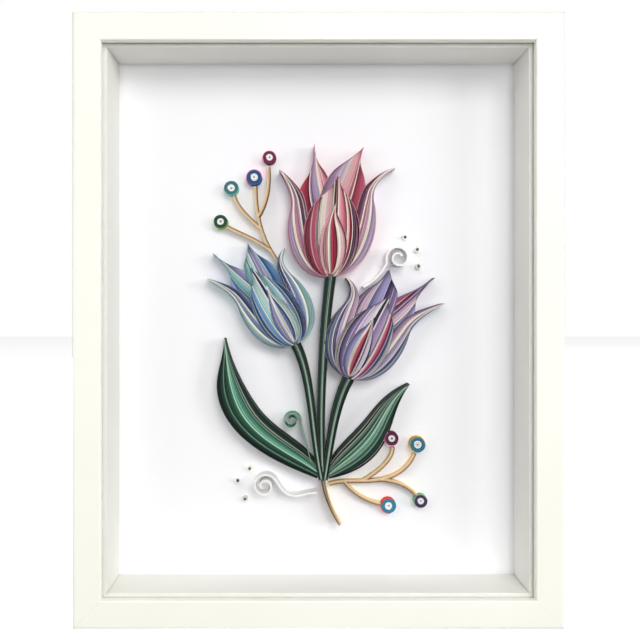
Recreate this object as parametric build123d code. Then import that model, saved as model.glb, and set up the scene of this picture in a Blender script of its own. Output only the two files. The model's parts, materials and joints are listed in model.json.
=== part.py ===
from build123d import *
import math
import os

import numpy as np

# A quilled paper bouquet in a deep white box frame, in millimetres.
# The front faces -Y and +Z is up. The origin is the middle of the frame's base.

# Sheets held in the rabbet: an 11 by 14 inch size
sheet_width = 279.4
sheet_height = 355.6
sheet_clearance = 0.3
glazing_thickness = 1.5
card_thickness = 1.5
back_board_thickness = 3.0

# Moulding of the frame
moulding_wall = 10.5
lip_overlap = 7.2
lip_thickness = 5.0
back_recess = 3.5
outer_edge_radius = 2.5
inner_edge_radius = 1.0
mitre_gap = 0.05

# Spacer strips between the glazing and the card
spacer_thickness = 9.2
spacer_depth = 29.5

# Framer's points that hold the boards in
point_length = 12.0
point_width = 5.0
point_thickness = 0.5
points_on_stile = 3
points_on_rail = 2

# Sawtooth hanger and its nails on the back of the top rail
hanger_length = 45.0
hanger_height = 8.0
hanger_foot = 8.5
hanger_thickness = 0.8
hanger_lift = 1.2
tooth_pitch = 2.75
tooth_share = 0.9
tooth_depth = 1.8
teeth = 8
nail_radius = 0.6
nail_head_radius = 1.5
nail_head_thickness = 0.5
nail_length = 7.0
nail_clearance = 0.05

# Quilled paper
bouquet_height = 250.0
strip_height = 10.0
sprig_height = 5.0
berry_height = 5.0
dot_height = 3.0
strip_thickness = 0.4
strip_gap = 0.3
stem_half_width = 3.2
stem_foot_half_width = 1.7
sprig_thickness = 2.0
tail_half_width = 1.4
tail_taper = 0.5
dot_radius = 2.0
eye_length = 1.2
eye_width = 0.5
scroll_outer_radius = 8.5
scroll_inner_radius = 2.4
tendril_outer_radius = 6.6
tendril_inner_radius = 1.6

# Sizes and places that follow
opening_width = sheet_width + 2 * sheet_clearance
opening_height = sheet_height + 2 * sheet_clearance
outer_width = opening_width + 2 * moulding_wall
outer_height = opening_height + 2 * moulding_wall
frame_depth = (
    lip_thickness + glazing_thickness + spacer_depth + card_thickness + back_board_thickness + back_recess
)
hanger_proud = hanger_lift + hanger_thickness
front_y = -(frame_depth + hanger_proud) / 2
glazing_y = front_y + lip_thickness
spacer_y = glazing_y + glazing_thickness
card_y = spacer_y + spacer_depth
back_board_y = card_y + card_thickness
points_y = back_board_y + back_board_thickness
back_y = front_y + frame_depth
centre_z = outer_height / 2

# The bouquet is drawn 250 mm high about the middle of the card, x to the right and z up
drawn_height = 250.0
scale = bouquet_height / drawn_height
sample_step = 0.5
curve_samples = 120
lead_samples = 40
spiral_samples = 60
shortest_strip = 5.0
arc_fit = 0.12
shortest_arc = 4
straight_bow = 0.01

# A petal is its left and right edges, chains of cubic curves from the bloom's base to the petal's tip
FRONT = (
    [(-3, 0), (-22, 4), (-27, 34), (-12, 52), (-8, 57), (-5, 60), (-3, 67)],
    [(3, 0), (20, 2), (25, 30), (13, 48), (8, 54), (0, 58), (-3, 67)],
)
LEFT = (
    [(-4, 0), (-30, 4), (-36, 30), (-30, 48), (-27, 58), (-33, 66), (-42, 70)],
    [(-5, 1), (-18, 20), (-16, 52), (-24, 60), (-29, 65), (-35, 69), (-42, 70)],
)
RIGHT = (
    [(5, 1), (18, 16), (14, 48), (22, 58), (26, 63), (31, 68), (38, 73)],
    [(4, 0), (28, 2), (34, 28), (29, 44), (27, 54), (32, 64), (38, 73)],
)
BACK_LEFT = (
    [(-14, 30), (-26, 44), (-24, 60), (-20, 68), (-17, 74), (-16, 78), (-18, 85)],
    [(8, 40), (10, 54), (6, 64), (0, 71), (-6, 76), (-13, 79), (-18, 85)],
)
BACK_RIGHT = (
    [(-2, 50), (0, 60), (4, 67), (8, 72), (12, 76), (15, 81), (16, 89)],
    [(14, 30), (28, 44), (25, 58), (19, 66), (15, 72), (15, 80), (16, 89)],
)

# Each petal: its edges, whether its filling strips fan out to the rim, and where they stand across it
PETALS = {
    "front_petal": (FRONT, True, (0.18, 0.50, 0.80)),
    "left_petal": (LEFT, False, (0.30, 0.68)),
    "right_petal": (RIGHT, False, (0.32, 0.70)),
    "back_left_petal": (BACK_LEFT, True, (0.28, 0.64)),
    "back_right_petal": (BACK_RIGHT, True, (0.30, 0.66)),
}
rim_from = 0.45

# Each bloom: its base, tilt in degrees, size, how wide it spreads and opens, its lean, and if mirrored
BLOOMS = {
    "violet": ((21, -38), 17, 0.88, 0.92, 0.0, 0.0030, False),
    "blue": ((-14, -16), -24, 0.85, 0.90, -0.0016, -0.0022, True),
    "rose": ((9, 28), -3, 0.97, 0.90, 0.001, 0.0012, True),
}

# Centre lines of the stems, from each bloom's base to the stems' foot
STEMS = {
    "violet_stem": [(21, -38), (11, -56), (9, -80), (5, -104)],
    "blue_stem": [(-14, -16), (-3, -36), (-4, -70), (3, -104)],
    "rose_stem": [(9, 28), (4, -10), (1, -60), (4, -104)],
}
STEM_LINES = (-1, 1, -0.35, 0.35)
TAIL = [(4, -103.5), (5, -112), (8, -122), (15, -133)]

# A leaf is its upper and lower edges, from its foot to its tip
LEAVES = {
    "left_leaf": (
        [(1, -103), (-20, -95), (-58, -80), (-64, -50), (-67, -36), (-60, -26), (-60, -12)],
        [(2, -96), (-10, -78), (-28, -74), (-40, -56), (-47, -46), (-56, -30), (-60, -12)],
    ),
    "right_leaf": (
        [(6, -100), (10, -86), (20, -80), (32, -66), (40, -56), (46, -48), (60, -42)],
        [(7, -103), (22, -100), (38, -94), (46, -74), (50, -64), (52, -52), (60, -42)],
    ),
}
LEAF_LINES = (0.24, 0.50, 0.76)

# Branches of the berry sprigs
SPRIGS = {
    "lower_sprig": [
        [(8, -108), (20, -104), (32, -108), (46, -104), (56, -101), (62, -94), (64, -88)],
        [(30, -106), (40, -100), (50, -92), (50, -84)],
        [(42, -105), (52, -106), (60, -109), (65, -115)],
        [(18, -106.5), (24, -114), (32, -119), (42, -121)],
    ],
    "upper_sprig": [
        [(-22, 34), (-34, 48), (-40, 64), (-40, 88)],
        [(-31, 46), (-42, 54), (-50, 56), (-59, 61)],
        [(-37, 60), (-46, 68), (-52, 74), (-54, 81)],
        [(-38.5, 67), (-33, 75), (-30.5, 86), (-31.5, 100)],
    ],
}
BERRIES = (
    ((66, -82), 5.4),
    ((49, -78), 4.8),
    ((68, -119), 4.6),
    ((47, -122), 5.2),
    ((-41, 93), 5.4),
    ((-63, 64), 4.8),
    ((-56, 86), 5.0),
    ((-31, 106), 4.6),
)

# Scrolls: the lead-in curve, the scroll's centre, where it starts in degrees, and its sense
SCROLLS = {
    "right_scroll": ([(30, 21), (36, 24), (41, 29)], (53, 40), 205, -1),
    "left_scroll": ([(0, -112), (-10, -112), (-18, -120)], (-34, -108), 20, 1),
}
scroll_turns = 1.5
winding_in = 0.85
TENDRIL = ([(-4, -92), (-6, -84), (-8, -78)], (-16.5, -66), -15, 1)
tendril_turns = 1.6
DOTS = {
    "right_dots": ((58, 54), (66, 46), (67, 35)),
    "left_dots": ((-44, -98), (-52, -106), (-47, -118)),
}


def moulding(length, distance):
    """A bottom rail with mitred ends, its outer face this distance below the frame's middle."""
    inner = -distance + moulding_wall
    sight = inner + lip_overlap
    corners = [
        (front_y, -distance),
        (back_y, -distance),
        (back_y, inner),
        (glazing_y, inner),
        (glazing_y, sight),
        (front_y, sight),
    ]
    section = make_face(Polyline(*corners, close=True))
    section = fillet(section.vertices().sort_by_distance((front_y, -distance))[0], outer_edge_radius)
    section = fillet(section.vertices().sort_by_distance((front_y, sight))[0], inner_edge_radius)
    bar = extrude(Plane.YZ * section, length / 2, both=True)
    foot = length / 2 - mitre_gap / math.sqrt(2)
    reach = foot - moulding_wall - lip_overlap
    ends = [(-foot, -distance), (foot, -distance), (reach, sight), (-reach, sight)]
    return bar & extrude(Plane.XZ * make_face(Polyline(*ends, close=True)), frame_depth, both=True)


def frame_rails():
    """The two rails and two stiles of the frame, turned about its middle."""
    middle = Pos(0, 0, centre_z)
    rail = moulding(outer_width, outer_height / 2)
    stile = moulding(outer_height, outer_width / 2)
    top = middle * Rot(0, 180, 0) * rail
    for place in nail_places():
        top -= place * nail_shank(nail_radius + nail_clearance)
    return {
        "frame_bottom_rail": middle * rail,
        "frame_top_rail": top,
        "frame_left_stile": middle * Rot(0, 90, 0) * stile,
        "frame_right_stile": middle * Rot(0, -90, 0) * stile,
    }


def upright_box(width, height, low_y, thickness, x=0.0, z=centre_z):
    """A box of this width and height that starts at low_y and is this thick towards the back."""
    return Pos(x, low_y + thickness / 2, z) * Box(width, thickness, height)


def boards():
    """The glazing, the backing card and the back board."""
    return {
        "glazing": upright_box(sheet_width, sheet_height, glazing_y, glazing_thickness),
        "backing_card": upright_box(sheet_width, sheet_height, card_y, card_thickness),
        "back_board": upright_box(sheet_width, sheet_height, back_board_y, back_board_thickness),
    }


def spacers():
    """Four strips that hold the glazing away from the card."""
    side_x = (sheet_width - spacer_thickness) / 2
    end_z = (sheet_height - spacer_thickness) / 2
    end_width = sheet_width - 2 * spacer_thickness
    return {
        "spacer_left": upright_box(spacer_thickness, sheet_height, spacer_y, spacer_depth, x=-side_x),
        "spacer_right": upright_box(spacer_thickness, sheet_height, spacer_y, spacer_depth, x=side_x),
        "spacer_bottom": upright_box(end_width, spacer_thickness, spacer_y, spacer_depth, z=centre_z - end_z),
        "spacer_top": upright_box(end_width, spacer_thickness, spacer_y, spacer_depth, z=centre_z + end_z),
    }


def framers_points():
    """Flat points from the rabbet's wall over the back board."""
    points = []
    side_x = (opening_width - point_length) / 2
    end_z = (opening_height - point_length) / 2
    for side in (-1, 1):
        for i in range(points_on_stile):
            z = centre_z + opening_height * ((i + 0.5) / points_on_stile - 0.5)
            points.append(upright_box(point_length, point_width, points_y, point_thickness, side * side_x, z))
        for i in range(points_on_rail):
            x = opening_width * ((i + 0.5) / points_on_rail - 0.5)
            z = centre_z + side * end_z
            points.append(upright_box(point_width, point_length, points_y, point_thickness, x, z))
    return Compound(children=points)


def hanger_z():
    """Height of the hanger's middle, on the middle of the top rail's wall."""
    return outer_height - moulding_wall / 2


def nail_places():
    """Where the hanger's nails enter, on the back of the top rail, pointing into it."""
    x = (hanger_length - hanger_foot) / 2
    return [Pos(side * x, back_y, hanger_z()) * Rot(90, 0, 0) for side in (-1, 1)]


def nail_shank(radius):
    """A nail's shank, from the top of the hanger's foot into the rail."""
    length = nail_length + hanger_thickness
    return Pos(0, 0, nail_length - length / 2) * Cylinder(radius, length)


def sawtooth_hanger():
    """A pressed strip with a raised middle and teeth along its lower edge."""
    end = hanger_length / 2
    bend = end - hanger_foot
    rise = bend - hanger_lift
    under = [(-end, 0), (-bend, 0), (-rise, hanger_lift), (rise, hanger_lift), (bend, 0), (end, 0)]
    over = [(x, y + hanger_thickness) for x, y in reversed(under)]
    section = make_face(Polyline(*under, *over, close=True))
    plate = Pos(0, back_y, hanger_z() - hanger_height / 2) * extrude(section, hanger_height)
    low = hanger_z() - hanger_height / 2
    for i in range(teeth):
        x = (i - (teeth - 1) / 2) * tooth_pitch
        half = tooth_pitch * tooth_share / 2
        notch = make_face(Polyline((x - half, low), (x + half, low), (x, low + tooth_depth), close=True))
        plate -= extrude(Plane.XZ * notch, back_y + 2 * hanger_proud, both=True)
    for place in nail_places():
        plate -= place * nail_shank(nail_radius + nail_clearance)
    return plate


def hanger_nails():
    """Two nails, their heads on the hanger's feet."""
    nails = []
    for place in nail_places():
        head = Pos(0, 0, -hanger_thickness - nail_head_thickness / 2) * Cylinder(
            nail_head_radius, nail_head_thickness
        )
        nails.append(place * (nail_shank(nail_radius) + head))
    return Compound(children=nails)


def bezier(points, t):
    """Points on a chain of cubic curves, t from 0 at its start to 1 at its end."""
    p = np.asarray(points, float)
    spans = (len(p) - 1) // 3
    k = np.minimum((t * spans).astype(int), spans - 1)
    u = (t * spans - k)[:, None]
    a, b, c, d = (p[3 * k + i] for i in range(4))
    return (1 - u) ** 3 * a + 3 * u * (1 - u) ** 2 * b + 3 * u * u * (1 - u) * c + u**3 * d


def even(curve, step):
    """The curve again, with its points a step apart."""
    along = np.concatenate([[0], np.cumsum(np.hypot(*np.diff(curve, axis=0).T))])
    at = np.linspace(0, along[-1], max(3, round(along[-1] / step) + 1))
    return np.stack([np.interp(at, along, curve[:, 0]), np.interp(at, along, curve[:, 1])], 1)


def normals(curve):
    """Unit normals of a curve, to its left."""
    run = np.gradient(curve, axis=0)
    return np.stack([-run[:, 1], run[:, 0]], 1) / np.hypot(run[:, 0], run[:, 1])[:, None]


def inside(points, ring):
    """Which points lie inside a closed ring."""
    x, y = points[:, 0][:, None], points[:, 1][:, None]
    x0, y0 = ring[:, 0], ring[:, 1]
    x1, y1 = np.roll(x0, -1), np.roll(y0, -1)
    level = np.where(y1 == y0, 1.0, y1 - y0)
    crossing = x0 + (y - y0) * (x1 - x0) / level
    hits = ((y0 > y) != (y1 > y)) & (x < crossing)
    return hits.sum(1) % 2 == 1


def circle(centre, radius, count=40):
    """Points round a circle."""
    angle = np.linspace(0, 2 * math.pi, count, endpoint=False)
    return np.stack([centre[0] + radius * np.cos(angle), centre[1] + radius * np.sin(angle)], 1)


def spiral(centre, outer, inner, turns, start, sense):
    """Points along a scroll that winds in from its outer radius."""
    t = np.linspace(0, 1, round(spiral_samples * turns))
    radius = outer + (inner - outer) * t**winding_in
    angle = math.radians(start) + sense * 2 * math.pi * turns * t
    return np.stack([centre[0] + radius * np.cos(angle), centre[1] + radius * np.sin(angle)], 1)


def bloom_edges(edges, at, tilt, size, spread, opening, lean, mirror):
    """A petal's edges, leaned, opened, turned and moved to its bloom's place."""
    placed = []
    for edge in edges:
        p = np.asarray(edge, float)
        if mirror:
            p = p * (-1, 1)
        across = p[:, 0] * (spread + opening * p[:, 1]) + lean * p[:, 1] ** 2
        along = p[:, 1]
        c, s = math.cos(math.radians(tilt)), math.sin(math.radians(tilt))
        placed.append(size * np.stack([across * c + along * s, along * c - across * s], 1) + at)
    return placed[::-1] if mirror else placed


def across(left, right, share, t, fans):
    """A strip between two edges, this share of the way across, which may fan out to the rim above."""
    if not fans:
        return (1 - share) * bezier(left, t) + share * bezier(right, t)
    low_left, low_right = bezier(left, t * rim_from), bezier(right, t * rim_from)
    at = np.array([abs(2 * share - 1)])
    rim = bezier(left if share < 0.5 else right, 1 - at * (1 - rim_from))[0]
    chord = (1 - share) * low_left[-1] + share * low_right[-1]
    return (1 - share) * low_left + share * low_right + t[:, None] * (rim - chord)


class Bouquet:
    """Lays strips from front to back. A strip stops short of what is already there."""

    def __init__(self):
        self.covered = []
        self.laid = np.zeros((0, 3))
        self.runs = {}

    def lay(self, node, curve, within=None, thickness=strip_thickness):
        """Lays the stretches of a curve that are free, and inside a ring if one is given."""
        points = even(np.asarray(curve) * scale, sample_step)
        free = np.ones(len(points), bool)
        for ring in self.covered:
            free &= ~inside(points, ring)
        if within is not None:
            free &= inside(points, within * scale)
        room = thickness / 2 + strip_gap
        reach = room + self.laid[:, 2:].max(initial=0)
        close = (self.laid[:, :2] > points.min(0) - reach) & (self.laid[:, :2] < points.max(0) + reach)
        near = self.laid[close.all(1)]
        if len(near):
            apart = np.hypot(*(points[:, None] - near[None, :, :2]).transpose(2, 0, 1)) - near[:, 2]
            free &= apart.min(1) > room
        start = None
        for i in range(len(points) + 1):
            on = i < len(points) and free[i]
            if on and start is None:
                start = i
            if not on and start is not None:
                if (i - start - 1) * sample_step >= shortest_strip:
                    self.keep(node, points[start:i], thickness)
                start = None

    def keep(self, node, run, thickness):
        """Adds one run of strip to a node."""
        self.runs.setdefault(node, []).append((run, thickness))
        line = even(run, sample_step / 2)
        self.laid = np.concatenate([self.laid, np.insert(line, 2, thickness / 2, axis=1)])

    def cover(self, ring):
        """Marks an area that nothing behind it may enter."""
        self.covered.append(np.asarray(ring) * scale)


def lay_blooms(bouquet, t):
    """The petals of each bloom, the front ones first."""
    for bloom, place in BLOOMS.items():
        for petal, (edges, fans, shares) in PETALS.items():
            left, right = bloom_edges(edges, *place)
            ring = np.concatenate([bezier(left, t), bezier(right, t[::-1])])
            node = f"{bloom}_{petal}"
            bouquet.lay(node, bezier(left, t))
            bouquet.lay(node, bezier(right, t))
            for share in shares:
                bouquet.lay(node, across(left, right, share, t, fans), ring)
            bouquet.cover(ring)


def lay_stems(bouquet, t):
    """The three stems, their common tail and the sprigs."""
    for node, line in STEMS.items():
        centre = bezier(line, t)
        half = (stem_half_width + (stem_foot_half_width - stem_half_width) * t)[:, None] * normals(centre)
        for share in STEM_LINES:
            bouquet.lay(node, centre + share * half)
        bouquet.cover(np.concatenate([centre + half, (centre - half)[::-1]]))
    centre = bezier(TAIL, t)
    half = tail_half_width * (1 - tail_taper * t[:, None]) * normals(centre)
    for share in (-1, 0, 1):
        bouquet.lay("stem_tail", centre + share * half)


def lay_leaves(bouquet, t):
    """The two leaves."""
    for node, (upper, lower) in LEAVES.items():
        ring = np.concatenate([bezier(upper, t), bezier(lower, t[::-1])])
        bouquet.lay(node, bezier(upper, t))
        bouquet.lay(node, bezier(lower, t))
        for share in LEAF_LINES:
            bouquet.lay(node, across(upper, lower, share, t, False), ring)
        bouquet.cover(ring)


def lay_sprigs(bouquet, t):
    """The branches of both sprigs, each of several strips glued into one."""
    for node, branches in SPRIGS.items():
        for branch in branches:
            bouquet.lay(node, bezier(branch, t), thickness=sprig_thickness)


def scroll(lead, centre, start, sense, outer, inner, turns):
    """A lead-in curve that winds up into a scroll."""
    winding = spiral(centre, outer, inner, turns, start, sense)
    way_in = bezier([*lead, tuple(winding[0])], np.linspace(0, 1, lead_samples))
    return np.concatenate([way_in[:-1], winding])


def lay_scrolls(bouquet):
    """The two white scrolls."""
    for node, place in SCROLLS.items():
        bouquet.lay(node, scroll(*place, scroll_outer_radius, scroll_inner_radius, scroll_turns))


def lay_tendril(bouquet):
    """The green tendril beside the stems."""
    bouquet.lay("tendril", scroll(*TENDRIL, tendril_outer_radius, tendril_inner_radius, tendril_turns))


def bouquet_runs():
    """Every strip's run, by node, in the card's plane."""
    bouquet = Bouquet()
    t = np.linspace(0, 1, curve_samples)
    margin = strip_gap + strip_thickness / 2
    for centre, radius in BERRIES:
        bouquet.cover(circle(centre, radius + margin))
    for centres in DOTS.values():
        for centre in centres:
            bouquet.cover(circle(centre, dot_radius + margin))
    lay_scrolls(bouquet)
    lay_blooms(bouquet, t)
    lay_stems(bouquet, t)
    lay_tendril(bouquet)
    lay_leaves(bouquet, t)
    lay_sprigs(bouquet, t)
    return bouquet.runs


def bow(start, middle, end):
    """How far the middle point stands off the line from start to end."""
    run, rise = end - start
    return abs((middle[0] - start[0]) * rise - (middle[1] - start[1]) * run) / math.hypot(run, rise)


def strays(points, low, middle, high):
    """How far points low to high stray from the arc, or the line, through those three of them."""
    start, half_way, end = points[low], points[middle], points[high]
    between = points[low : high + 1]
    if bow(start, half_way, end) < straight_bow:
        return max(bow(start, point, end) for point in between)
    sides = 2 * np.array([half_way - start, end - start])
    lengths = np.array([half_way @ half_way - start @ start, end @ end - start @ start])
    centre = np.linalg.solve(sides, lengths)
    return np.abs(np.hypot(*(between - centre).T) - math.dist(start, centre)).max()


def arcs(points):
    """Places along the points that split them into arcs, three to an arc, each as long as it fits."""
    picked = [0]
    while picked[-1] < len(points) - 1:
        low, high = picked[-1], len(points) - 1
        while high - low > shortest_arc and strays(points, low, (low + high) // 2, high) > arc_fit:
            high -= max(1, (high - low) // 10)
        picked += [(low + high) // 2, high]
    return picked


def side(points):
    """One long edge of a strip, as a chain of arcs, with a line where it is all but straight."""
    edges = []
    for start, middle, end in zip(points[:-2:2], points[1:-1:2], points[2::2]):
        through = [(x, card_y, centre_z + z) for x, z in (start, middle, end)]
        straight = bow(start, middle, end) < straight_bow
        edges.append(Line(through[0], through[2]) if straight else ThreePointArc(*through))
    return edges


def strip(run, thickness, height):
    """One paper strip on edge, standing on the card along its run."""
    half = thickness / 2 * normals(run)
    picked = arcs(run)
    left = side((run + half)[picked])
    right = side((run - half)[picked])
    ends = [Line(left[0] @ 0, right[0] @ 0), Line(left[-1] @ 1, right[-1] @ 1)]
    return extrude(make_face([*left, *right, *ends]), height, dir=(0, -1, 0))


def coil(centre, radius, height):
    """A tight coil, a roll of strip standing on its end, with the slit of the slotted tool at its eye."""
    x, z = np.asarray(centre) * scale
    roll = Cylinder(radius, height) - Box(eye_length, eye_width, height)
    return Pos(x, card_y - height / 2, centre_z + z) * Rot(90, 0, 0) * roll


def quilling():
    """Every quilled node: strips, berries and dot coils."""
    nodes = {}
    for node, runs in bouquet_runs().items():
        height = sprig_height if node in SPRIGS else strip_height
        nodes[node] = Compound(children=[strip(*run, height) for run in runs])
    for i, (centre, radius) in enumerate(BERRIES, 1):
        nodes[f"berry_{i}"] = coil(centre, radius * scale, berry_height)
    for node, centres in DOTS.items():
        nodes[node] = Compound(children=[coil(centre, dot_radius, dot_height) for centre in centres])
    return nodes


def main():
    nodes = {
        **frame_rails(),
        **boards(),
        **spacers(),
        "framers_points": framers_points(),
        "sawtooth_hanger": sawtooth_hanger(),
        "hanger_nails": hanger_nails(),
        **quilling(),
    }
    os.makedirs("parts", exist_ok=True)
    for name, shape in nodes.items():
        export_step(shape, f"parts/{name}.step")


main()
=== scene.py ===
import json
import math

import bpy
import numpy as np
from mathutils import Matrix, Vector


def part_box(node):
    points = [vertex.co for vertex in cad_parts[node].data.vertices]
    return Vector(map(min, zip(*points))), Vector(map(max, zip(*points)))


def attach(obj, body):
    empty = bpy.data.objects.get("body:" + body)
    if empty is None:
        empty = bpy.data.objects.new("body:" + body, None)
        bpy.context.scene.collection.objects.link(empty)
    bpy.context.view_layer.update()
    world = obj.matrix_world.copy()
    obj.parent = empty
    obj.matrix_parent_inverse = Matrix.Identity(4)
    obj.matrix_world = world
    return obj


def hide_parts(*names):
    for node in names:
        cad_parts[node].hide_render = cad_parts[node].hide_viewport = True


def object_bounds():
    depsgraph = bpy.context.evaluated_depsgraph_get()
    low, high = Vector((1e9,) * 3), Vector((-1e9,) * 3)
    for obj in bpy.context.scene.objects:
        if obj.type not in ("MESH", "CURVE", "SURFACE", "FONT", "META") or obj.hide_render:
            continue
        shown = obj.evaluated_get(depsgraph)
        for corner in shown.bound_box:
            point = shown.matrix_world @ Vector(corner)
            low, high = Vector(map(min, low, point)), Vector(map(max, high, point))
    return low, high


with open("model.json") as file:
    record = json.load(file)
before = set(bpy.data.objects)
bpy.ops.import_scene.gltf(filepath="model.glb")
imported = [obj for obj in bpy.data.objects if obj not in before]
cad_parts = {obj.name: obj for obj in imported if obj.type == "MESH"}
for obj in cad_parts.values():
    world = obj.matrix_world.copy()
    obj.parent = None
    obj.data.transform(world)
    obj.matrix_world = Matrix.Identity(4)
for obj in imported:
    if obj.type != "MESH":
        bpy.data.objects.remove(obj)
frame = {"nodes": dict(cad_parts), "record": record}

# The look of a quilled paper bouquet in a deep white box frame. Drawn sizes are in millimetres.
mm = 0.001
cad_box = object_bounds()
card_low, card_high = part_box("backing_card")
card_y = card_low.y
centre = (card_low + card_high) / 2

# How high each kind of node stands on the card
strip_height, sprig_height, berry_height, dot_height = (
    (card_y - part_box(node)[0].y) / mm for node in ("rose_front_petal", "lower_sprig", "berry_1", "right_dots")
)
slots = {part["node"]: part["material_slot"] for part in frame["record"]["subparts"]}
random = np.random.default_rng(11)

# Camera, fitted to edges in the photograph, which is 640 pixels square. How far it stands from the frame
# rests on the depth that was chosen for the frame.
image_size = 640
focal_pixels = 681.8
camera_place = (-13.9, -438.0, 8.6)
camera_shift_pixels = (24.4, -13.7)

# The inner faces of the deep walls, in metres from the middle of the card, and the painted shade in their
# corner
# joints and on the card at their foot: its width, and the share of light that it takes
inner_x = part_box("spacer_right")[0].x - centre.x
inner_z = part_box("spacer_top")[0].z - centre.z
corner_shade_width = 1.8
corner_shade_depth = 0.16
foot_shade_width = 4.0
foot_shade_depth = 0.07

# Paper strips
outline_thickness = 0.4
cream_thickness = 0.42
filling_thickness = 0.56
filling_pitch = 0.62
coil_thickness = 0.34
strip_gap = 0.1
curve_points = 120
sample_step = 0.5
mesh_step = 0.8
sharp_angle = 40
shortest_strip = 4.0
uneven_height = 0.22
uneven_tint = 0.16

# A field of this many strips or more is a bundle, which stands lower where it is darker. A larger one also
# has strips left out of it, and pale ones in it.
smallest_bundle = 4
bundle_dip = 0.2
field_dip = 3.0
crevice_share = 0.10
pin_share = 0.12

# Dyes, the painted shade that darkens a strip at its base and tip, and how pale its cut edge is, less so where
# it is dark
painted_base_shade = 0.32
painted_tip_shade = 0.2
dye_strength = 1.35
# The pale cut edge is partly the paper's pale core and partly a painted highlight
pale_edge = "#fff4e6"
outline_paleness = 0.34
filling_paleness = 0.07
branch_paleness = 0.2
paleness_by_tint = 2.5
least_paleness = 0.1

# The drawing is 250 mm high about the middle of the card, x to the right and z up.
# A petal is its left and right edges, chains of cubic curves from the bloom's base to the petal's tip.
FRONT = (
    [(-3, 0), (-22, 4), (-27, 34), (-12, 52), (-8, 57), (-5, 60), (-3, 67)],
    [(3, 0), (20, 2), (25, 30), (13, 48), (8, 54), (0, 58), (-3, 67)],
)
HEART = (
    [(-1.2, 1.4), (-13, 6), (-15, 24), (-8, 35), (-5, 40), (-3, 44), (-4, 50)],
    [(1.0, 1.4), (8, 4), (11, 19), (5, 33), (2, 39), (-1, 44), (-4, 50)],
)
LEFT = (
    [(-4, 0), (-30, 4), (-36, 30), (-30, 48), (-27, 58), (-33, 66), (-42, 70)],
    [(-5, 1), (-18, 20), (-16, 52), (-24, 60), (-29, 65), (-35, 69), (-42, 70)],
)
RIGHT = (
    [(5, 1), (18, 16), (14, 48), (22, 58), (26, 63), (31, 68), (38, 73)],
    [(4, 0), (28, 2), (34, 28), (29, 44), (27, 54), (32, 64), (38, 73)],
)
BACK_LEFT = (
    [(-14, 30), (-26, 44), (-24, 60), (-20, 68), (-17, 74), (-16, 78), (-18, 85)],
    [(8, 40), (10, 54), (6, 64), (0, 71), (-6, 76), (-13, 79), (-18, 85)],
)
BACK_RIGHT = (
    [(-2, 50), (0, 60), (4, 67), (8, 72), (12, 76), (15, 81), (16, 89)],
    [(14, 30), (28, 44), (25, 58), (19, 66), (15, 72), (15, 80), (16, 89)],
)
rim_from = 0.45

# Each form of a bloom, from front to back: its petal, its edges, whether its filling strips fan out to the
# rim, how far it stands below the front petal, and its fields of strips, each from one share of the way
# across to another and in one of the bloom's papers. A field of no width is one strip.
FORMS = (
    (
        "front_petal",
        HEART,
        False,
        1.6,
        (
            (0.33, 0.42, "cream"),
            (0.69, 0.69, "cream"),
            (0.05, 0.30, "glow"),
            (0.46, 0.65, "bright"),
            (0.73, 0.95, "pale"),
        ),
    ),
    (
        "front_petal",
        FRONT,
        True,
        0.0,
        (
            (0.215, 0.215, "cream"),
            (0.425, 0.425, "cream"),
            (0.545, 0.56, "cream"),
            (0.79, 0.79, "cream"),
            (0.90, 0.90, "pale"),
            (0.012, 0.195, "deep"),
            (0.235, 0.405, "pale"),
            (0.445, 0.525, "dark"),
            (0.58, 0.77, "mid"),
            (0.81, 0.885, "bright"),
            (0.915, 0.988, "shade"),
        ),
    ),
    (
        "left_petal",
        LEFT,
        False,
        0.5,
        (
            (0.31, 0.31, "cream"),
            (0.63, 0.70, "cream"),
            (0.02, 0.285, "shade"),
            (0.335, 0.605, "soft"),
            (0.725, 0.98, "haze"),
        ),
    ),
    (
        "right_petal",
        RIGHT,
        False,
        0.5,
        (
            (0.30, 0.37, "cream"),
            (0.69, 0.69, "cream"),
            (0.02, 0.275, "haze"),
            (0.395, 0.665, "soft"),
            (0.715, 0.98, "shade"),
        ),
    ),
    (
        "back_left_petal",
        BACK_LEFT,
        True,
        1.0,
        (
            (0.33, 0.33, "cream"),
            (0.66, 0.66, "pale"),
            (0.03, 0.305, "haze"),
            (0.355, 0.635, "glow"),
            (0.685, 0.97, "deep"),
        ),
    ),
    (
        "back_right_petal",
        BACK_RIGHT,
        True,
        1.0,
        (
            (0.31, 0.31, "pale"),
            (0.67, 0.67, "cream"),
            (0.03, 0.285, "bright"),
            (0.335, 0.645, "haze"),
            (0.695, 0.97, "glow"),
        ),
    ),
)

# Each bloom: its base, tilt in degrees, size, how wide it spreads and opens, its lean, and if mirrored
BLOOMS = {
    "violet": ((21, -38), 17, 0.88, 0.92, 0.0, 0.0030, False),
    "blue": ((-14, -16), -24, 0.85, 0.90, -0.0016, -0.0022, True),
    "rose": ((9, 28), -3, 0.97, 0.90, 0.001, 0.0012, True),
}

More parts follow.
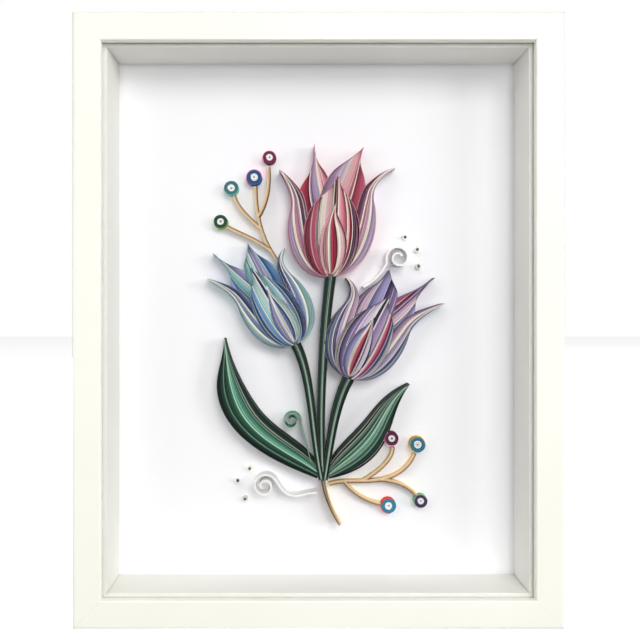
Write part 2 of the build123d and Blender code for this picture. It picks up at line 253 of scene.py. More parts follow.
# Papers of each bloom: its outline strips, and its fields, graded from the first colour to the second
EDGE_PAPERS = {"rose": "#b05070", "blue": "#3f7390", "violet": "#5c4c74"}
PAPERS = {
    "rose": {
        "deep": ("#7a1842", "#d5708e"),
        "pale": ("#fbf1ea", "#eabcc8"),
        "dark": ("#3c0e2a", "#8c2c56"),
        "mid": ("#eab4c0", "#c5607f"),
        "bright": ("#c83a68", "#862048"),
        "shade": ("#42203e", "#a07492"),
        "soft": ("#d695ab", "#c3a8c4"),
        "cream": ("#fdf8ec", "#efe8da"),
        "haze": ("#9a80a8", "#dccbe0"),
        "glow": ("#f0c8cc", "#d4869a"),
    },
    "blue": {
        "deep": ("#1c4a80", "#7fb6dc"),
        "pale": ("#b5dce0", "#e0f0ee"),
        "dark": ("#121c48", "#3a5298"),
        "mid": ("#5aa2aa", "#aed8d8"),
        "bright": ("#a4bce8", "#2c5294"),
        "shade": ("#1a2350", "#6675a8"),
        "soft": ("#7c9acb", "#c4cfea"),
        "cream": ("#faf6ea", "#eaeadf"),
        "haze": ("#80bcc0", "#c8e6e4"),
        "glow": ("#8a88bc", "#cac8e6"),
    },
    "violet": {
        "deep": ("#3a2a56", "#9482b0"),
        "pale": ("#cdbee0", "#f0eaf4"),
        "dark": ("#20173a", "#584878"),
        "mid": ("#907eac", "#c8b6d4"),
        "bright": ("#d0688e", "#8a2e5c"),
        "shade": ("#28345a", "#7a8cab"),
        "soft": ("#7a6ca0", "#bcaed4"),
        "cream": ("#f8f2e4", "#e8e2d4"),
        "haze": ("#a080a2", "#d6c2d2"),
        "glow": ("#666492", "#b2acd2"),
    },
}

# Centre lines of the stems, and the papers that stand across them from the left edge to the right
STEMS = {
    "violet_stem": [(21, -38), (11, -56), (9, -80), (5, -104)],
    "blue_stem": [(-14, -16), (-3, -36), (-4, -70), (3, -104)],
    "rose_stem": [(9, 28), (4, -10), (1, -60), (4, -104)],
}
STEM_FIELDS = (
    (0.04, 0.34, "#081a15", "#30554a"),
    (0.42, 0.56, "#8fa598", "#c3cfc2"),
    (0.64, 0.96, "#284a40", "#081712"),
)
stem_half_width = 3.2
stem_foot_half_width = 1.7
TAIL = [(4, -103.5), (5, -112), (8, -122), (15, -133)]
# The tail's lines of golden paper: the brown one is painted shade and the palest a painted highlight
TAIL_LINES = ((-1, "#8a6038"), (1, "#fbe2b4"), (0, "#e2b678"))
tail_half_width = 1.4
tail_taper = 0.5

# A leaf is its upper and lower edges, from its foot to its tip
LEAVES = {
    "left_leaf": (
        [(1, -103), (-20, -95), (-58, -80), (-64, -50), (-67, -36), (-60, -26), (-60, -12)],
        [(2, -96), (-10, -78), (-28, -74), (-40, -56), (-47, -46), (-56, -30), (-60, -12)],
    ),
    "right_leaf": (
        [(6, -100), (10, -86), (20, -80), (32, -66), (40, -56), (46, -48), (60, -42)],
        [(7, -103), (22, -100), (38, -94), (46, -74), (50, -64), (52, -52), (60, -42)],
    ),
}
LEAF_FIELDS = (
    (0.22, 0.22, "#6f9484", "#6f9484"),
    (0.47, 0.47, "#d3e2d3", "#d3e2d3"),
    (0.74, 0.74, "#86a596", "#86a596"),
    (0.02, 0.20, "#081814", "#27493e"),
    (0.24, 0.455, "#143228", "#4a8470"),
    (0.485, 0.72, "#86c2ac", "#30665a"),
    (0.76, 0.98, "#2f5448", "#071512"),
)
green_edge = "#0c2822"

# Branches of the berry sprigs, each of lines of golden paper across it: the brown line is painted shade and the
# palest a painted highlight
SPRIGS = {
    "lower_sprig": [
        [(8, -108), (20, -104), (32, -108), (46, -104), (56, -101), (62, -94), (64, -88)],
        [(30, -106), (40, -100), (50, -92), (50, -84)],
        [(42, -105), (52, -106), (60, -109), (65, -115)],
        [(18, -106.5), (24, -114), (32, -119), (42, -121)],
    ],
    "upper_sprig": [
        [(-22, 34), (-34, 48), (-40, 64), (-40, 88)],
        [(-31, 46), (-42, 54), (-50, 56), (-59, 61)],
        [(-37, 60), (-46, 68), (-52, 74), (-54, 81)],
        [(-38.5, 67), (-33, 75), (-30.5, 86), (-31.5, 100)],
    ],
}
SPRIG_LINES = ((-0.8, "#5e3c20"), (-0.27, "#d89c54"), (0.27, "#f2c484"), (0.8, "#fbdfaa"))

# Each berry: its centre and radius, and the papers of its ring and of its outermost turns
BERRIES = (
    ((66, -82), 5.4, "#0f6f8c", "#f0b93c"),
    ((49, -78), 4.8, "#5a1748", "#d45f90"),
    ((68, -119), 4.6, "#3b2c50", "#9fd8ae"),
    ((47, -122), 5.2, "#12799c", "#ee4b38"),
    ((-41, 93), 5.4, "#124f86", "#cf3f92"),
    ((-63, 64), 4.8, "#1f4636", "#9fd653"),
    ((-56, 86), 5.0, "#2f6f78", "#8fd8c4"),
    ((-31, 106), 4.6, "#7a1546", "#e47fb0"),
)
berry_core = "#fdfdfa"
core_share = 0.46
rim_share = 0.92
coil_pitch = 0.38
coil_eye = 0.6
coil_points_per_turn = 40
uneven_turns = 0.35

# Scrolls: the lead-in curve, the scroll's centre, where it starts in degrees, and its sense
SCROLLS = {
    "right_scroll": ([(30, 21), (36, 24), (41, 29)], (53, 40), 205, -1),
    "left_scroll": ([(0, -112), (-10, -112), (-18, -120)], (-34, -108), 20, 1),
}
lead_points = 40
scroll_points_per_turn = 60
scroll_winding = 0.85
scroll_outer_radius = 8.5
scroll_inner_radius = 2.4
scroll_turns = 1.5
scroll_layers = (-0.42, 0, 0.42)
scroll_paper = "#ffffff"
TENDRIL = ([(-4, -92), (-6, -84), (-8, -78)], (-16.5, -66), -15, 1)
tendril_outer_radius = 6.6
tendril_inner_radius = 1.6
tendril_turns = 1.6
tendril_paper = "#4f9c80"
DOTS = {
    "right_dots": ((58, 54), (66, 46), (67, 35)),
    "left_dots": ((-44, -98), (-52, -106), (-47, -118)),
}
dot_radius = 2.0
dot_paper = "#f8f6ea"
dot_core = "#66713c"
dot_core_share = 0.5
circle_points = 40

# Lights: place from the middle of the card and size in metres, power in watts, and tint
warm = (1.0, 0.99, 0.97)
mild = (1.0, 0.995, 0.985)
white = (1.0, 1.0, 1.0)
LIGHTS = (
    ("key", (1.20, -3.52, 2.00), 1.9, 84.0, warm),
    ("above", (0.20, -1.50, 3.90), 1.6, 12.0, warm),
    ("front", (0.15, -3.90, 0.05), 1.4, 43.0, mild),
    ("left", (-3.40, -2.20, 0.20), 1.4, 19.0, mild),
    ("right", (3.40, -2.20, 0.60), 1.4, 52.0, (1.0, 0.995, 0.98)),
    ("upper_left", (-1.90, -2.60, 2.90), 2.4, 38.0, mild),
    ("below", (0.0, -0.05, -3.50), 1.4, 50.0, white),
    ("far_left", (-3.50, -0.05, 0.0), 1.4, 32.0, white),
    ("far_right", (3.50, -0.05, 0.0), 1.4, 30.0, white),
    ("back", (-0.6, 1.8, 0.9), 1.0, 48.0, white),
)
floor_half = 4.0
floor_glow = 0.75
world_light = 0.08


def linear(code):
    """A colour in Blender's linear light, from its usual six-figure code."""
    parts = np.array([int(code[i : i + 2], 16) for i in (1, 3, 5)]) / 255
    return np.where(parts <= 0.04045, parts / 12.92, ((parts + 0.055) / 1.055) ** 2.4)


def mixed(first, second, share):
    """A dye between two. It is stronger than the colour asked for, because cut edges look paler."""
    dye = (1 - share) * linear(first) + share * linear(second)
    return dye.max() * (dye / dye.max()) ** dye_strength


def bezier(points, t):
    """Points on a chain of cubic curves, t from 0 at its start to 1 at its end.

    A line of as many points as t is taken as it is, or backwards where t runs back.
    """
    p = np.asarray(points, float)
    if len(p) == len(t):
        return p if t[0] < t[-1] else p[::-1]
    spans = (len(p) - 1) // 3
    k = np.minimum((t * spans).astype(int), spans - 1)
    u = (t * spans - k)[:, None]
    a, b, c, d = (p[3 * k + i] for i in range(4))
    return (1 - u) ** 3 * a + 3 * u * (1 - u) ** 2 * b + 3 * u * u * (1 - u) * c + u**3 * d


def even(curve, step):
    """The curve again, with its points a step apart."""
    along = np.concatenate([[0], np.cumsum(np.hypot(*np.diff(curve, axis=0).T))])
    at = np.linspace(0, along[-1], max(3, round(along[-1] / step) + 1))
    return np.stack([np.interp(at, along, curve[:, 0]), np.interp(at, along, curve[:, 1])], 1)


def normals(curve):
    """Unit normals of a curve, to its left."""
    run = np.gradient(curve, axis=0)
    return np.stack([-run[:, 1], run[:, 0]], 1) / np.hypot(run[:, 0], run[:, 1])[:, None]


def inside(points, ring):
    """Which points lie inside a closed ring."""
    x, y = points[:, 0][:, None], points[:, 1][:, None]
    x0, y0 = ring[:, 0], ring[:, 1]
    x1, y1 = np.roll(x0, -1), np.roll(y0, -1)
    level = np.where(y1 == y0, 1.0, y1 - y0)
    crossing = x0 + (y - y0) * (x1 - x0) / level
    hits = ((y0 > y) != (y1 > y)) & (x < crossing)
    return hits.sum(1) % 2 == 1


def circle(middle, radius):
    """Points round a circle."""
    angle = np.linspace(0, 2 * math.pi, circle_points, endpoint=False)
    return np.stack([middle[0] + radius * np.cos(angle), middle[1] + radius * np.sin(angle)], 1)


def spiral(middle, outer, inner, turns, start, sense):
    """Points along a scroll that winds in from its outer radius."""
    t = np.linspace(0, 1, round(scroll_points_per_turn * turns))
    radius = outer + (inner - outer) * t**scroll_winding
    angle = math.radians(start) + sense * 2 * math.pi * turns * t
    return np.stack([middle[0] + radius * np.cos(angle), middle[1] + radius * np.sin(angle)], 1)


def bloom_edges(edges, at, tilt, size, spread, opening, lean, mirror):
    """A petal's edges, leaned, opened, turned and moved to its bloom's place."""
    placed = []
    for edge in edges:
        p = np.asarray(edge, float)
        if mirror:
            p = p * (-1, 1)
        across_it = p[:, 0] * (spread + opening * p[:, 1]) + lean * p[:, 1] ** 2
        along_it = p[:, 1]
        c, s = math.cos(math.radians(tilt)), math.sin(math.radians(tilt))
        turned = np.stack([across_it * c + along_it * s, along_it * c - across_it * s], 1)
        placed.append(size * turned + at)
    return placed[::-1] if mirror else placed


def across(left, right, share, t, fans):
    """A strip between two edges, this share of the way across, which may fan out to the rim above."""
    if not fans:
        return (1 - share) * bezier(left, t) + share * bezier(right, t)
    low_left, low_right = bezier(left, t * rim_from), bezier(right, t * rim_from)
    at = np.array([abs(2 * share - 1)])
    rim = bezier(left if share < 0.5 else right, 1 - at * (1 - rim_from))[0]
    chord = (1 - share) * low_left[-1] + share * low_right[-1]
    return (1 - share) * low_left + share * low_right + t[:, None] * (rim - chord)


class Bouquet:
    """Lays strips from front to back. A strip stops short of what is already there."""

    def __init__(self):
        self.covered = []
        self.laid = np.zeros((0, 3))
        self.strips = {}

    def lay(
        self,
        node,
        curve,
        tint,
        within=None,
        thickness=outline_thickness,
        paleness=outline_paleness,
        sunk=0.0,
        apart=True,
    ):
        """Lays the stretches of a curve that are free. Strips within a ring are bundled, and may touch."""
        points = even(np.asarray(curve), sample_step)
        free = np.ones(len(points), bool)
        for ring in self.covered:
            free &= ~inside(points, ring)
        if within is not None:
            free &= inside(points, within)
        elif apart:
            free &= self.clear(points, thickness / 2 + strip_gap)
        start = None
        for i in range(len(points) + 1):
            on = i < len(points) and free[i]
            if on and start is None:
                start = i
            if not on and start is not None:
                if (i - start - 1) * sample_step >= shortest_strip:
                    run = even(points[start:i], mesh_step)
                    along = np.linspace(start, i, len(run) - 1)[:, None] / len(points)
                    # Painted shade: the strip is darker towards its base and tip
                    painted_shade = 0 if within is None else painted_base_shade * (1 - along) ** 2 + painted_tip_shade * along**3
                    strip = (run, thickness, tint * (1 - painted_shade), paleness, sunk)
                    self.strips.setdefault(node, []).append(strip)
                    if within is None and apart:
                        line = np.insert(even(run, sample_step / 2), 2, thickness / 2, axis=1)
                        self.laid = np.concatenate([self.laid, line])
                start = None

    def clear(self, points, room):
        """Which points are this far from the strips that stand apart."""
        reach = room + self.laid[:, 2:].max(initial=0)
        close = (self.laid[:, :2] > points.min(0) - reach) & (self.laid[:, :2] < points.max(0) + reach)
        near = self.laid[close.all(1)]
        if not len(near):
            return np.ones(len(points), bool)
        apart = np.hypot(*(points[:, None] - near[None, :, :2]).transpose(2, 0, 1)) - near[:, 2]
        return apart.min(1) > room

    def fill(self, node, left, right, fields, t, fans=False, sunk=0.0):
        """Fills a form with its fields of strips and covers it. A bundle sinks where it is darker."""
        ring = np.concatenate([bezier(left, t), bezier(right, t[::-1])])
        width = np.hypot(*(bezier(left, t) - bezier(right, t)).T).max()
        for first, last, paper, next_paper in fields:
            count = 1 + round((last - first) * width / filling_pitch)
            darkest, lightest = sorted((linear(paper).mean(), linear(next_paper).mean()))
            for grade in np.linspace(0, 1, count):
                if count > smallest_bundle and random.random() < crevice_share:
                    continue
                curve = across(left, right, first + (last - first) * grade, t, fans)
                tint = mixed(paper, next_paper, grade) * (1 + random.uniform(-uneven_tint, uneven_tint))
                if count > smallest_bundle and random.random() < pin_share:
                    tint = (tint + linear(pale_edge)) / 2
                if count < smallest_bundle:
                    self.lay(node, curve, tint, ring, cream_thickness, filling_paleness, sunk)
                    continue
                shade = (1 - grade) * linear(paper).mean() + grade * linear(next_paper).mean()
                dip = field_dip * (lightest - shade) / (lightest - darkest)
                low = sunk + bundle_dip + dip
                self.lay(node, curve, tint, ring, filling_thickness, filling_paleness, low)
        self.cover(ring)

    def cover(self, ring):
        """Marks an area that nothing behind it may enter."""
        self.covered.append(np.asarray(ring))


def lay_blooms(bouquet, t):
    """The petals of each bloom, the front ones first."""
    for bloom, place in BLOOMS.items():
        papers = PAPERS[bloom]
        for petal, edges, fans, sunk, fields in FORMS:
            left, right = bloom_edges(edges, *place)
            node = f"{bloom}_{petal}"
            for edge in (left, right):
                bouquet.lay(node, bezier(edge, t), linear(EDGE_PAPERS[bloom]), sunk=sunk)
            dyed = [(first, last, *papers[paper]) for first, last, paper in fields]
            bouquet.fill(node, left, right, dyed, t, fans, sunk)


def lay_stems(bouquet, t):
    """The three stems and their common tail."""
    for node, line in STEMS.items():
        middle = bezier(line, t)
        half = (stem_half_width + (stem_foot_half_width - stem_half_width) * t)[:, None] * normals(middle)
        left, right = middle - half, middle + half
        for edge in (left, right):
            bouquet.lay(node, edge, linear(green_edge))
        bouquet.fill(node, left, right, STEM_FIELDS, t)
    middle = bezier(TAIL, t)
    half = tail_half_width * (1 - tail_taper * t[:, None]) * normals(middle)
    for share, paper in TAIL_LINES:
        bouquet.lay("stem_tail", middle + share * half, linear(paper), paleness=branch_paleness)


def lay_leaves(bouquet, t):
    """The two leaves."""
    for node, (upper, lower) in LEAVES.items():
        for edge in (upper, lower):
            bouquet.lay(node, bezier(edge, t), linear(green_edge))
        bouquet.fill(node, upper, lower, LEAF_FIELDS, t)


def lay_sprigs(bouquet, t):
    """The branches of both sprigs."""
    for node, branches in SPRIGS.items():
        for branch in branches:
            middle = bezier(branch, t)
            for offset, paper in SPRIG_LINES:
                curve = middle + offset * normals(middle)
                bouquet.lay(node, curve, linear(paper), paleness=branch_paleness, apart=False)


def scroll(lead, middle, start, sense, outer, inner, turns):
    """A lead-in curve that winds up into a scroll."""
    winding = spiral(middle, outer, inner, turns, start, sense)
    way_in = bezier([*lead, tuple(winding[0])], np.linspace(0, 1, lead_points))
    return np.concatenate([way_in[:-1], winding])


def lay_bouquet():
    """Every strip by node: its run, thickness, colour, paleness and how far it is sunk."""
    bouquet = Bouquet()
    t = np.linspace(0, 1, curve_points)
    margin = strip_gap + outline_thickness / 2
    for middle, radius, *_ in BERRIES:
        bouquet.cover(circle(middle, radius + margin))
    for middles in DOTS.values():
        for middle in middles:
            bouquet.cover(circle(middle, dot_radius + margin))
    for node, place in SCROLLS.items():
        curve = scroll(*place, scroll_outer_radius, scroll_inner_radius, scroll_turns)
        for offset in scroll_layers:
            bouquet.lay(node, curve + offset * normals(curve), linear(scroll_paper), apart=False)
    lay_blooms(bouquet, t)
    lay_stems(bouquet, t)
    curve = scroll(*TENDRIL, tendril_outer_radius, tendril_inner_radius, tendril_turns)
    bouquet.lay("tendril", curve, linear(tendril_paper))
    lay_leaves(bouquet, t)
    lay_sprigs(bouquet, t)
    return bouquet.strips


def ribbon(run, thickness, tints, paleness=filling_paleness, sunk=0.0, full_height=strip_height):
    """Corners, faces and the colour of each face of one strip that stands on edge on the card."""
    count = len(run)
    half = thickness / 2 * normals(run)
    height = full_height - sunk - random.uniform(0, uneven_height)
    tints = np.broadcast_to(tints, (count - 1, 3))
    corners = np.empty((count, 4, 3))
    for k, (side, up) in enumerate(((-1, 0), (1, 0), (1, height), (-1, height))):
        line = run + side * half
        corners[:, k, 0] = line[:, 0]
        corners[:, k, 1] = -up
        corners[:, k, 2] = line[:, 1]
    i = 4 * np.arange(count - 1)[:, None, None]
    k = np.arange(4)[None, :, None]
    around = np.concatenate([i + k, i + (k + 1) % 4, i + 4 + (k + 1) % 4, i + 4 + k], axis=2)
    end = 4 * (count - 1)
    faces = np.concatenate([around.reshape(-1, 4), [[0, 3, 2, 1]], end + np.array([[0, 1, 2, 3]])])
    shades = np.repeat(tints[:, None], 4, axis=1)
    # The cut edge on top is paler: partly the paper's pale core, partly a painted highlight
    share = paleness * np.clip(paleness_by_tint * tints.mean(1, keepdims=True), least_paleness, 1)
    shades[:, 2] = (1 - share) * tints + share * linear(pale_edge)
    return corners.reshape(-1, 3), faces, np.concatenate([shades.reshape(-1, 3), tints[:1], tints[-1:]])


def coil(middle, radius, rings, height):
    """One strip wound into a tight coil. rings gives its papers, each from a share of the radius."""
    outer = radius - coil_thickness / 2
    turns = (outer - coil_eye) / coil_pitch
    t = np.linspace(0, 1, round(coil_points_per_turn * turns))
    reach = coil_eye + (outer - coil_eye) * t
    angle = 2 * math.pi * turns * t + random.uniform(0, 2 * math.pi)
    run = np.stack([middle[0] + reach * np.cos(angle), middle[1] + reach * np.sin(angle)], 1)
    tints = np.empty((len(run) - 1, 3))
    for share, paper in rings:
        tints[reach[1:] >= share * radius] = linear(paper)
    turn_tints = random.uniform(1 - uneven_turns, 1 + uneven_turns, math.ceil(turns))
    tints = np.minimum(tints * turn_tints[(turns * t[:-1]).astype(int), None], 1)
    return ribbon(run, coil_thickness, tints, full_height=height)


def build(node, strips):
    """One piece of several strips, which stands for a node of the frame."""
    corners, faces, shades = [], [], []
    first = 0
    for points, quads, colours in strips:
        corners.append(points)
        faces.append(quads + first)
        shades.append(colours)
        first += len(points)
    places = np.concatenate(corners) * mm + (centre.x, card_y, centre.z)
    mesh = bpy.data.meshes.new(f"{node}_strips")
    mesh.from_pydata(places.tolist(), [], np.concatenate(faces).tolist())
    tints = mesh.color_attributes.new("paper_colour", "FLOAT_COLOR", "CORNER")
    each = np.repeat(np.insert(np.concatenate(shades), 3, 1.0, axis=1), 4, axis=0)
    tints.data.foreach_set("color", each.astype(np.float32).ravel())
    mesh.polygons.foreach_set("use_smooth", np.ones(len(mesh.polygons), bool))
    mesh.set_sharp_from_angle(angle=math.radians(sharp_angle))
    mesh.materials.append(paper_material(slots[node]))
    piece = bpy.data.objects.new(f"{node}_strips", mesh)
    bpy.context.scene.collection.objects.link(piece)
    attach(piece, "root")
    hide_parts(node)


def new_material(name):
    """A node material, its tree and its main shader."""
    made = bpy.data.materials.new(name)
    made.use_nodes = True
    return made, made.node_tree, made.node_tree.nodes["Principled BSDF"]


def place_in(tree):
    """Where a point of the surface is, in metres."""
    return tree.nodes.new("ShaderNodeTexCoord").outputs["Object"]


def noise(tree, scale, detail=2.0, roughness=0.5, stretch=None):
    """A noise pattern with this many features to the metre, which may be stretched along an axis."""
    made = tree.nodes.new("ShaderNodeTexNoise")
    made.inputs["Scale"].default_value = scale
    made.inputs["Detail"].default_value = detail
    made.inputs["Roughness"].default_value = roughness
    where = place_in(tree)
    if stretch:
        mapping = tree.nodes.new("ShaderNodeMapping")
        mapping.inputs["Scale"].default_value = stretch
        tree.links.new(where, mapping.inputs["Vector"])
        where = mapping.outputs["Vector"]
    tree.links.new(where, made.inputs["Vector"])
    return made.outputs["Fac"]


def ramp(tree, source, stops):
    """Colours picked along a pattern: stops are pairs of a place and a colour."""
    made = tree.nodes.new("ShaderNodeValToRGB")
    elements = made.color_ramp.elements
    while len(elements) < len(stops):
        elements.new(1.0)
    for element, (at, tint) in zip(elements, stops):
        element.position = at
        element.color = (*tint, 1.0)
    tree.links.new(source, made.inputs["Fac"])
    return made.outputs["Color"]


def spread(tree, source, low, high):
    """A pattern from 0 to 1 brought to a range of its own."""
    made = tree.nodes.new("ShaderNodeMapRange")
    made.inputs["To Min"].default_value = low
    made.inputs["To Max"].default_value = high
    tree.links.new(source, made.inputs["Value"])
    return made.outputs["Result"]


def toned(tree, colour, share):
    """A colour with only a share of its light."""
    made = tree.nodes.new("ShaderNodeMix")
    made.data_type = "RGBA"
    made.blend_type = "MULTIPLY"
    made.inputs["Factor"].default_value = 1.0
    tree.links.new(colour, made.inputs["A"])
    tree.links.new(share, made.inputs["B"])
    return made.outputs["Result"]


def reckon(tree, operation, *values):
    """A number worked out from other numbers and patterns."""
    made = tree.nodes.new("ShaderNodeMath")
    made.operation = operation
    for socket, value in zip(made.inputs, values):
        if isinstance(value, bpy.types.NodeSocket):
            tree.links.new(value, socket)
        else:
            socket.default_value = value
    return made.outputs["Value"]


def painted_wall_shade(tree, pick, width, depth):
    """A painted shade: a share of light that dips near the deep walls (pick is MINIMUM) or near their corners
    (MAXIMUM).
    """
    axes = tree.nodes.new("ShaderNodeSeparateXYZ")
    tree.links.new(place_in(tree), axes.inputs["Vector"])
    gaps = []
    for axis, inner, middle in (("X", inner_x, centre.x), ("Z", inner_z, centre.z)):
        off = reckon(tree, "ABSOLUTE", reckon(tree, "SUBTRACT", axes.outputs[axis], middle))
        gaps.append(reckon(tree, "ABSOLUTE", reckon(tree, "SUBTRACT", inner, off)))
    made = tree.nodes.new("ShaderNodeMapRange")
    made.interpolation_type = "SMOOTHSTEP"
    made.inputs["From Max"].default_value = width * mm
    made.inputs["To Min"].default_value = 1 - depth
    tree.links.new(reckon(tree, pick, *gaps), made.inputs["Value"])
    return made.outputs["Result"]


def bump(tree, shader, source, height):
    """Raises the surface by a pattern, this high at most, in metres."""
    made = tree.nodes.new("ShaderNodeBump")
    made.inputs["Strength"].default_value = 1.0
    made.inputs["Distance"].default_value = height
    tree.links.new(source, made.inputs["Height"])
    tree.links.new(made.outputs["Normal"], shader.inputs["Normal"])


paper_made = {}


def paper_material(slot):
    """Dyed quilling paper: a colour for each strip, fine fibres and a matt, slightly uneven face."""
    if slot in paper_made:
        return paper_made[slot]
    made, tree, shader = new_material(f"{slot}_look")
    tint = tree.nodes.new("ShaderNodeAttribute")
    tint.attribute_name = "paper_colour"
    fibres = noise(tree, scale=1800, detail=3.0, roughness=0.6)
    shade = ramp(tree, fibres, ((0.25, (0.90, 0.90, 0.90)), (0.75, (1.0, 1.0, 1.0))))
    tree.links.new(toned(tree, tint.outputs["Color"], shade), shader.inputs["Base Color"])
    tree.links.new(spread(tree, fibres, low=0.62, high=0.82), shader.inputs["Roughness"])
    shader.inputs["Specular IOR Level"].default_value = 0.15
    bump(tree, shader, noise(tree, scale=2600, detail=2.0), height=0.00002)
    paper_made[slot] = made
    return made


def lacquer_material(name, low, high, roughness, joints=False):
    """Sprayed off-white lacquer on wood: nearly even, with a fine soft relief. The deep walls get a painted
    shade in their corner joints.
    """
    made, tree, shader = new_material(name)
    tint = ramp(tree, noise(tree, scale=14, detail=3.0), ((0.3, low), (0.7, high)))
    if joints:
        # Painted shade along the corner joints, where the deep walls meet
        tint = toned(tree, tint, painted_wall_shade(tree, "MAXIMUM", corner_shade_width, corner_shade_depth))
    tree.links.new(tint, shader.inputs["Base Color"])
    relief = noise(tree, scale=700, detail=3.0, roughness=0.55)
    tree.links.new(spread(tree, relief, roughness - 0.06, roughness + 0.06), shader.inputs["Roughness"])
    bump(tree, shader, relief, height=0.00003)
    return made


def card_material():
    """Smooth white mounting card with a cool tint, a faint felt relief and a painted soft shade at the foot of
    the deep walls.
    """
    made, tree, shader = new_material("white_card_look")
    felt = noise(tree, scale=900, detail=4.0, roughness=0.6)
    tint = ramp(tree, felt, ((0.3, (0.925, 0.925, 0.955)), (0.7, (0.95, 0.95, 0.975))))
    # Painted shade on the card at the foot of the deep walls
    tint = toned(tree, tint, painted_wall_shade(tree, "MINIMUM", foot_shade_width, foot_shade_depth))
    tree.links.new(tint, shader.inputs["Base Color"])
    shader.inputs["Roughness"].default_value = 0.85
    shader.inputs["Specular IOR Level"].default_value = 0.2
    bump(tree, shader, felt, height=0.00003)
    return made


def glazing_material():
    """Clear picture glass."""
    made, tree, shader = new_material("clear_glazing_look")
    shader.inputs["Base Color"].default_value = (0.05, 0.07, 0.07, 1.0)
    shader.inputs["Roughness"].default_value = 0.25
    shader.inputs["Alpha"].default_value = 0.02
    return made


def hardboard_material():
    """Bare brown hardboard with pressed fibres and darker flecks."""
    made, tree, shader = new_material("hardboard_look")
    fibres = noise(tree, scale=420, detail=6.0, roughness=0.7, stretch=(1.0, 1.0, 0.45))
    tones = ((0.25, (0.13, 0.072, 0.035)), (0.5, (0.21, 0.12, 0.06)), (0.75, (0.30, 0.18, 0.095)))
    tree.links.new(ramp(tree, fibres, tones), shader.inputs["Base Color"])
    tree.links.new(spread(tree, fibres, low=0.55, high=0.8), shader.inputs["Roughness"])
    bump(tree, shader, noise(tree, scale=900, detail=4.0, roughness=0.7), height=0.00008)
    return made


def metal_material(name, dull, bright, roughness):
    """Bare sheet metal, rolled along its length, with duller patches."""
    made, tree, shader = new_material(name)
    patches = noise(tree, scale=160, detail=4.0, roughness=0.6)
    tree.links.new(ramp(tree, patches, ((0.3, dull), (0.7, bright))), shader.inputs["Base Color"])
    shader.inputs["Metallic"].default_value = 1.0
    rolled = noise(tree, scale=700, detail=2.0, roughness=0.5, stretch=(0.15, 1.0, 1.0))
    tree.links.new(spread(tree, rolled, roughness - 0.1, roughness + 0.12), shader.inputs["Roughness"])
    bump(tree, shader, rolled, height=0.00001)
    return made


def dress(material, *nodes):
    """Gives nodes of the frame a material."""
    for node in nodes:
        mesh = frame["nodes"][node].data
        mesh.materials.clear()
        mesh.materials.append(material)


def dress_frame():
    """Materials of the frame, the boards and the hardware."""
    lacquer = lacquer_material("frame_lacquer_look", (0.88, 0.88, 0.80), (0.905, 0.905, 0.83), 0.36)
    dress(lacquer, "frame_top_rail", "frame_bottom_rail", "frame_left_stile", "frame_right_stile")
    low, high = (0.81, 0.805, 0.755), (0.835, 0.83, 0.78)
    spacer = lacquer_material("spacer_lacquer_look", low, high, 0.5, joints=True)
    dress(spacer, "spacer_top", "spacer_bottom", "spacer_left", "spacer_right")
    dress(glazing_material(), "glazing")
    dress(card_material(), "backing_card")
    dress(hardboard_material(), "back_board")
    steel = metal_material("steel_points_look", (0.52, 0.52, 0.53), (0.70, 0.70, 0.70), 0.45)
    dress(steel, "framers_points")
    brass = metal_material("brassed_steel_look", (0.60, 0.43, 0.18), (0.80, 0.60, 0.29), 0.45)
    dress(brass, "sawtooth_hanger", "hanger_nails")


def quilling():
    """Every quilled piece."""
    for node, strips in lay_bouquet().items():
        height = sprig_height if node in SPRIGS else strip_height
        build(node, [ribbon(*strip, height) for strip in strips])
    for i, (middle, radius, ring, outer) in enumerate(BERRIES, 1):
        rings = ((0, berry_core), (core_share, ring), (rim_share, outer))
        build(f"berry_{i}", [coil(middle, radius, rings, berry_height)])
    for node, middles in DOTS.items():
        rings = ((0, dot_core), (dot_core_share, dot_paper))
        build(node, [coil(middle, dot_radius, rings, dot_height) for middle in middles])


def light(name, place, size, power, tint):
    """A soft square light that faces the middle of the card. place is from there, in metres."""
    lamp = bpy.data.lights.new(name, "AREA")
    lamp.size = size
    lamp.energy = power
    lamp.color = tint
    made = bpy.data.objects.new(name, lamp)
    made.location = centre + Vector(place)
    made.rotation_mode = "QUATERNION"
    made.rotation_quaternion = (-Vector(place)).to_track_quat("-Z", "Y")
    made.visible_camera = False
    bpy.context.scene.collection.objects.link(made)


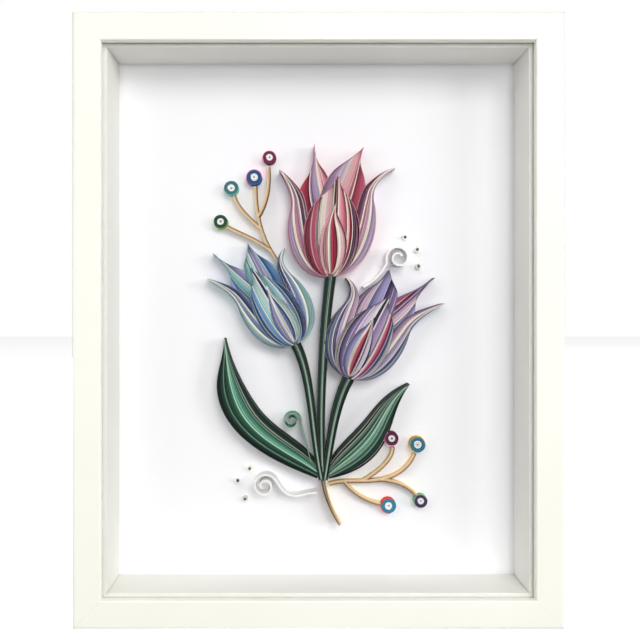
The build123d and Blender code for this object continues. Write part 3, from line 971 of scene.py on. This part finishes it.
def studio():
    """Pale floor, white surroundings and soft lights, the strongest of them at the upper right."""
    mesh = bpy.data.meshes.new("floor")
    corners = [(floor_half * x, floor_half * y, 0) for x, y in ((-1, -1), (1, -1), (1, 1), (-1, 1))]
    mesh.from_pydata(corners, [], [(0, 1, 2, 3)])
    floor = bpy.data.objects.new("floor", mesh)
    floor.location.z = cad_box[0].z
    bpy.context.scene.collection.objects.link(floor)
    made, tree, shader = new_material("floor_look")
    shader.inputs["Base Color"].default_value = (0.95, 0.95, 0.95, 1.0)
    shader.inputs["Roughness"].default_value = 0.9
    shader.inputs["Emission Color"].default_value = (1.0, 1.0, 1.0, 1.0)
    shader.inputs["Emission Strength"].default_value = floor_glow
    mesh.materials.append(made)
    floor.visible_diffuse = False
    floor.visible_glossy = False
    floor.visible_shadow = False

    world = bpy.data.worlds.new("studio")
    world.use_nodes = True
    bpy.context.scene.world = world
    tree = world.node_tree
    soft = tree.nodes["Background"]
    soft.inputs["Color"].default_value = (0.955, 0.965, 1.0, 1.0)
    soft.inputs["Strength"].default_value = world_light
    seen = tree.nodes.new("ShaderNodeBackground")
    seen.inputs["Color"].default_value = (1.0, 1.0, 1.0, 1.0)
    path = tree.nodes.new("ShaderNodeLightPath")
    mix = tree.nodes.new("ShaderNodeMixShader")
    tree.links.new(path.outputs["Is Camera Ray"], mix.inputs["Fac"])
    tree.links.new(soft.outputs["Background"], mix.inputs[1])
    tree.links.new(seen.outputs["Background"], mix.inputs[2])
    tree.links.new(mix.outputs["Shader"], tree.nodes["World Output"].inputs["Surface"])
    for lamp in LIGHTS:
        light(*lamp)


def camera():
    """The photograph's view, straight on."""
    view = bpy.data.cameras.new("camera")
    view.sensor_width = 36.0
    view.lens = focal_pixels / image_size * view.sensor_width
    view.shift_x = camera_shift_pixels[0] / image_size
    view.shift_y = camera_shift_pixels[1] / image_size
    made = bpy.data.objects.new("camera", view)
    x, y, z = camera_place
    made.location = (centre.x + x * mm, y * mm, centre.z + z * mm)
    made.rotation_euler = (math.radians(90), 0, 0)
    bpy.context.scene.collection.objects.link(made)
    bpy.context.scene.camera = made


camera()
studio()
dress_frame()
quilling()
bpy.context.scene.view_settings.view_transform = "Standard"
